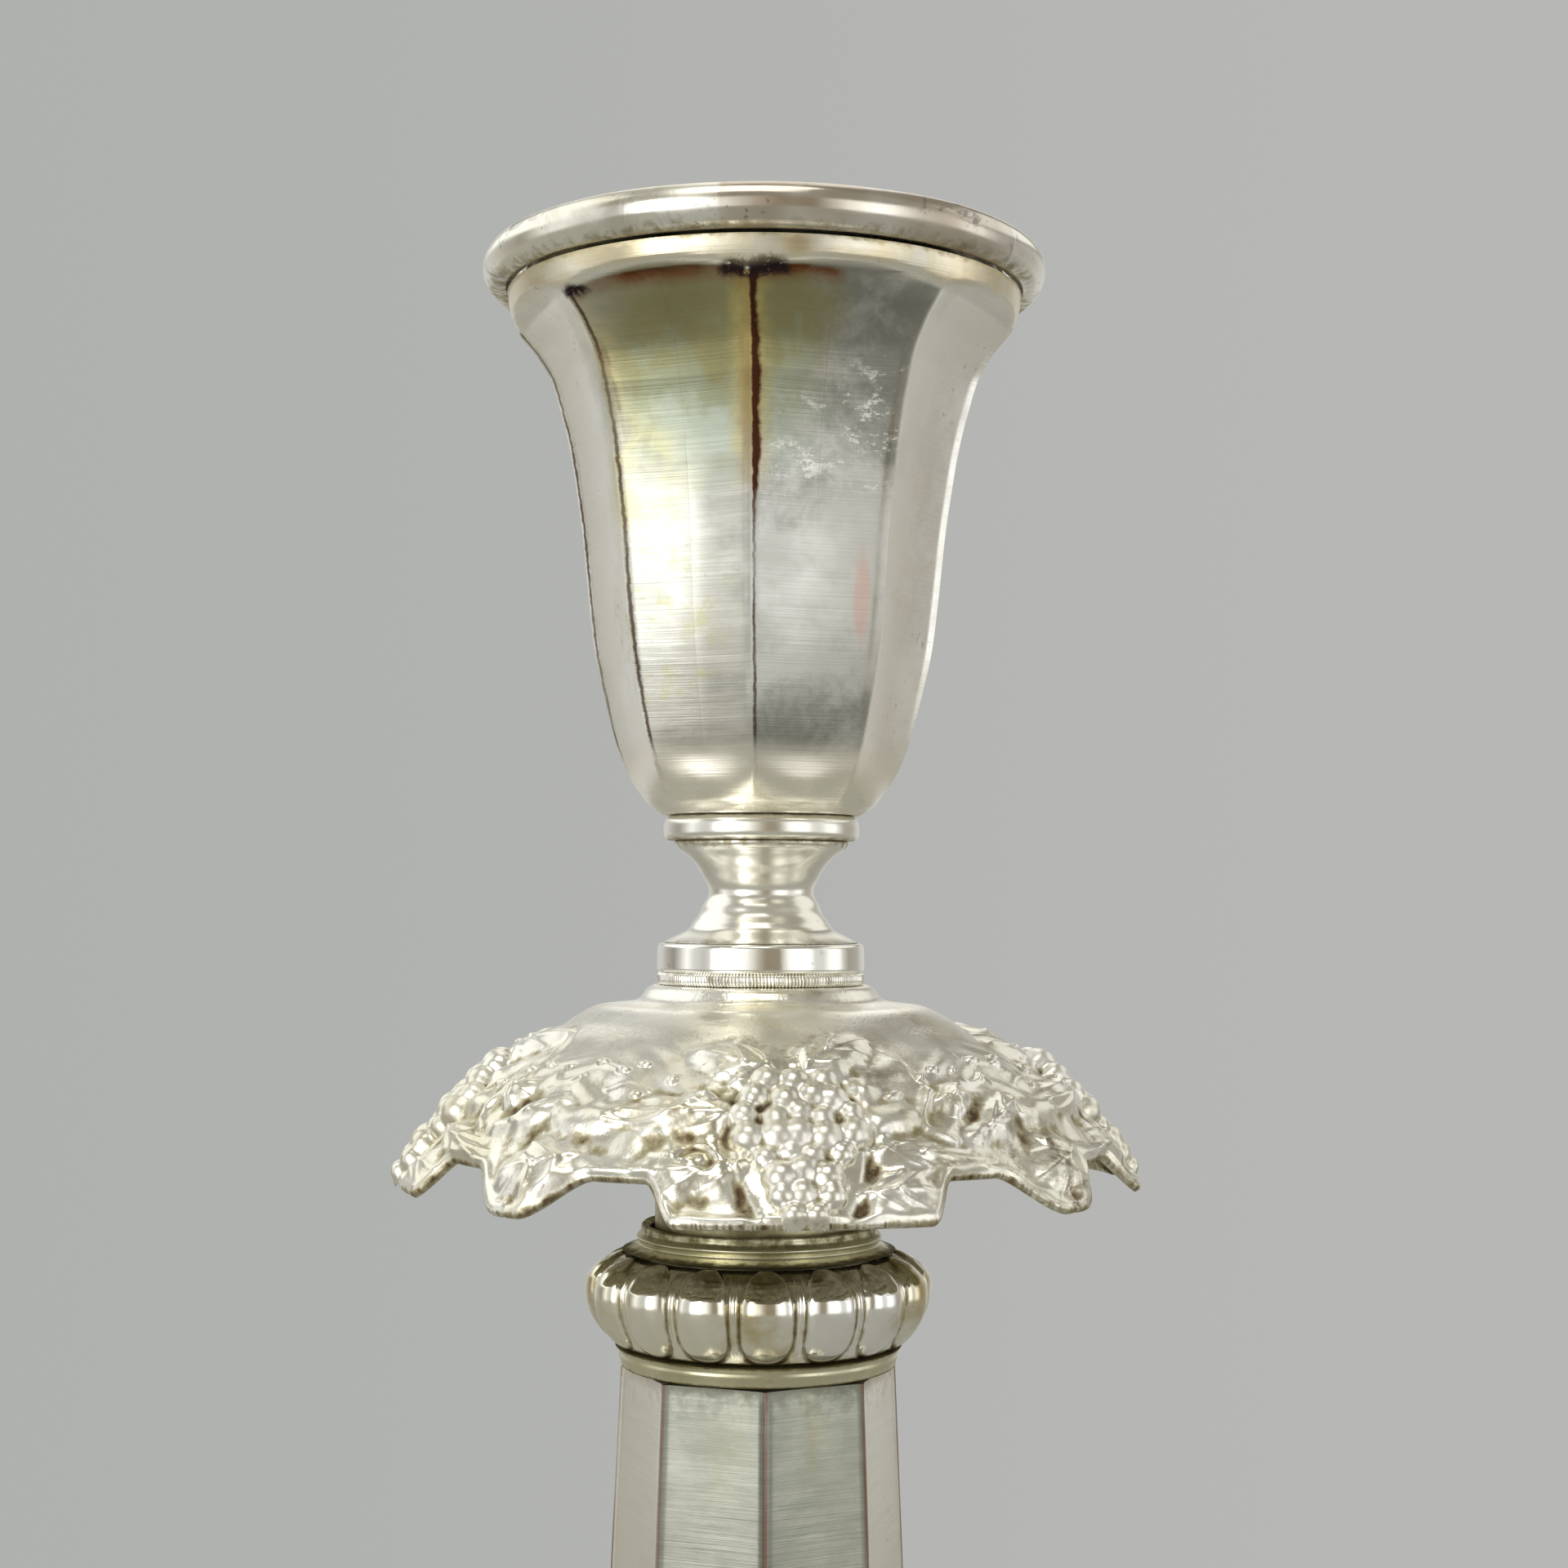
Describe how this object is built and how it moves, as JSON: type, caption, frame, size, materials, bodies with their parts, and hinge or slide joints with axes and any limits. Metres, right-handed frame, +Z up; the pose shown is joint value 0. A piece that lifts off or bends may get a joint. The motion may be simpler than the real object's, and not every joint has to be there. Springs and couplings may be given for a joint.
{
  "type": "table candlestick",
  "caption": "Silver-plated table candlestick with a weighted foot, faceted column, gadrooned knops, vine-leaf drip pan, lift-out top, bell cup and removable nozzle.",
  "frame": {"origin": "centre of the foot's underside, on the table", "axes": "+Z up along the candlestick's axis; an arris of the column and a bunch of grapes on the foot face -Y"},
  "size_m": [0.136, 0.136, 0.2903],
  "materials": {
    "plated_silver": "polished",
    "bare_brass": "satin",
    "iron_fixings": "satin",
    "green_felt": "matte",
    "plaster": "matte"
  },
  "bodies": {
    "candlestick": {"felt_pad": "green_felt", "base_plate": "bare_brass", "plaster_filling": "plaster", "foot_rolled_rim": "plated_silver", "foot_dome": "plated_silver", "foot_step_ring": "plated_silver", "foot_trumpet": "plated_silver", "foot_grapes_1": "plated_silver", "foot_grapes_2": "plated_silver", "foot_grapes_3": "plated_silver", "foot_grapes_4": "plated_silver", "foot_collar": "plated_silver", "lower_knop": "plated_silver", "shaft_foot_ring": "plated_silver", "shaft": "plated_silver", "knop_ring": "plated_silver", "knop": "plated_silver", "socket_collar": "plated_silver", "socket_tube": "bare_brass", "socket_floor": "bare_brass", "tie_rod": "iron_fixings", "tie_rod_top_nut": "iron_fixings", "tie_rod_washer": "iron_fixings", "tie_rod_foot_nut": "iron_fixings"},
    "top_section": {"plug_tube": "bare_brass", "plug_cap": "bare_brass", "pan_bush": "bare_brass", "milled_wire": "plated_silver", "neck_disc": "plated_silver", "spool_neck": "plated_silver", "cup_collar": "plated_silver", "cup_shell": "plated_silver", "stud": "iron_fixings", "stud_washer": "iron_fixings", "stud_top_nut": "iron_fixings", "stud_foot_nut": "iron_fixings"},
    "drip_pan": {"drip_pan": "plated_silver", "grapes_1": "plated_silver", "grapes_2": "plated_silver", "grapes_3": "plated_silver", "grapes_4": "plated_silver"},
    "nozzle": {"nozzle_rolled_rim": "plated_silver", "nozzle_dish": "plated_silver", "nozzle_locating_ring": "plated_silver", "candle_tube": "plated_silver", "candle_tube_floor": "plated_silver"}
  },
  "joints": [
    {"name": "top_section_lift", "type": "slide", "parent": "candlestick", "child": "top_section", "axis": [0, 0, 1], "range_m": [0, 0.03]},
    {"name": "drip_pan_turn", "type": "hinge", "parent": "top_section", "child": "drip_pan", "pos_m": [0, 0, 0.221], "axis": [0, 0, 1], "continuous": true},
    {"name": "nozzle_lift", "type": "slide", "parent": "top_section", "child": "nozzle", "axis": [0, 0, 1], "range_m": [0, 0.032]}
  ]
}
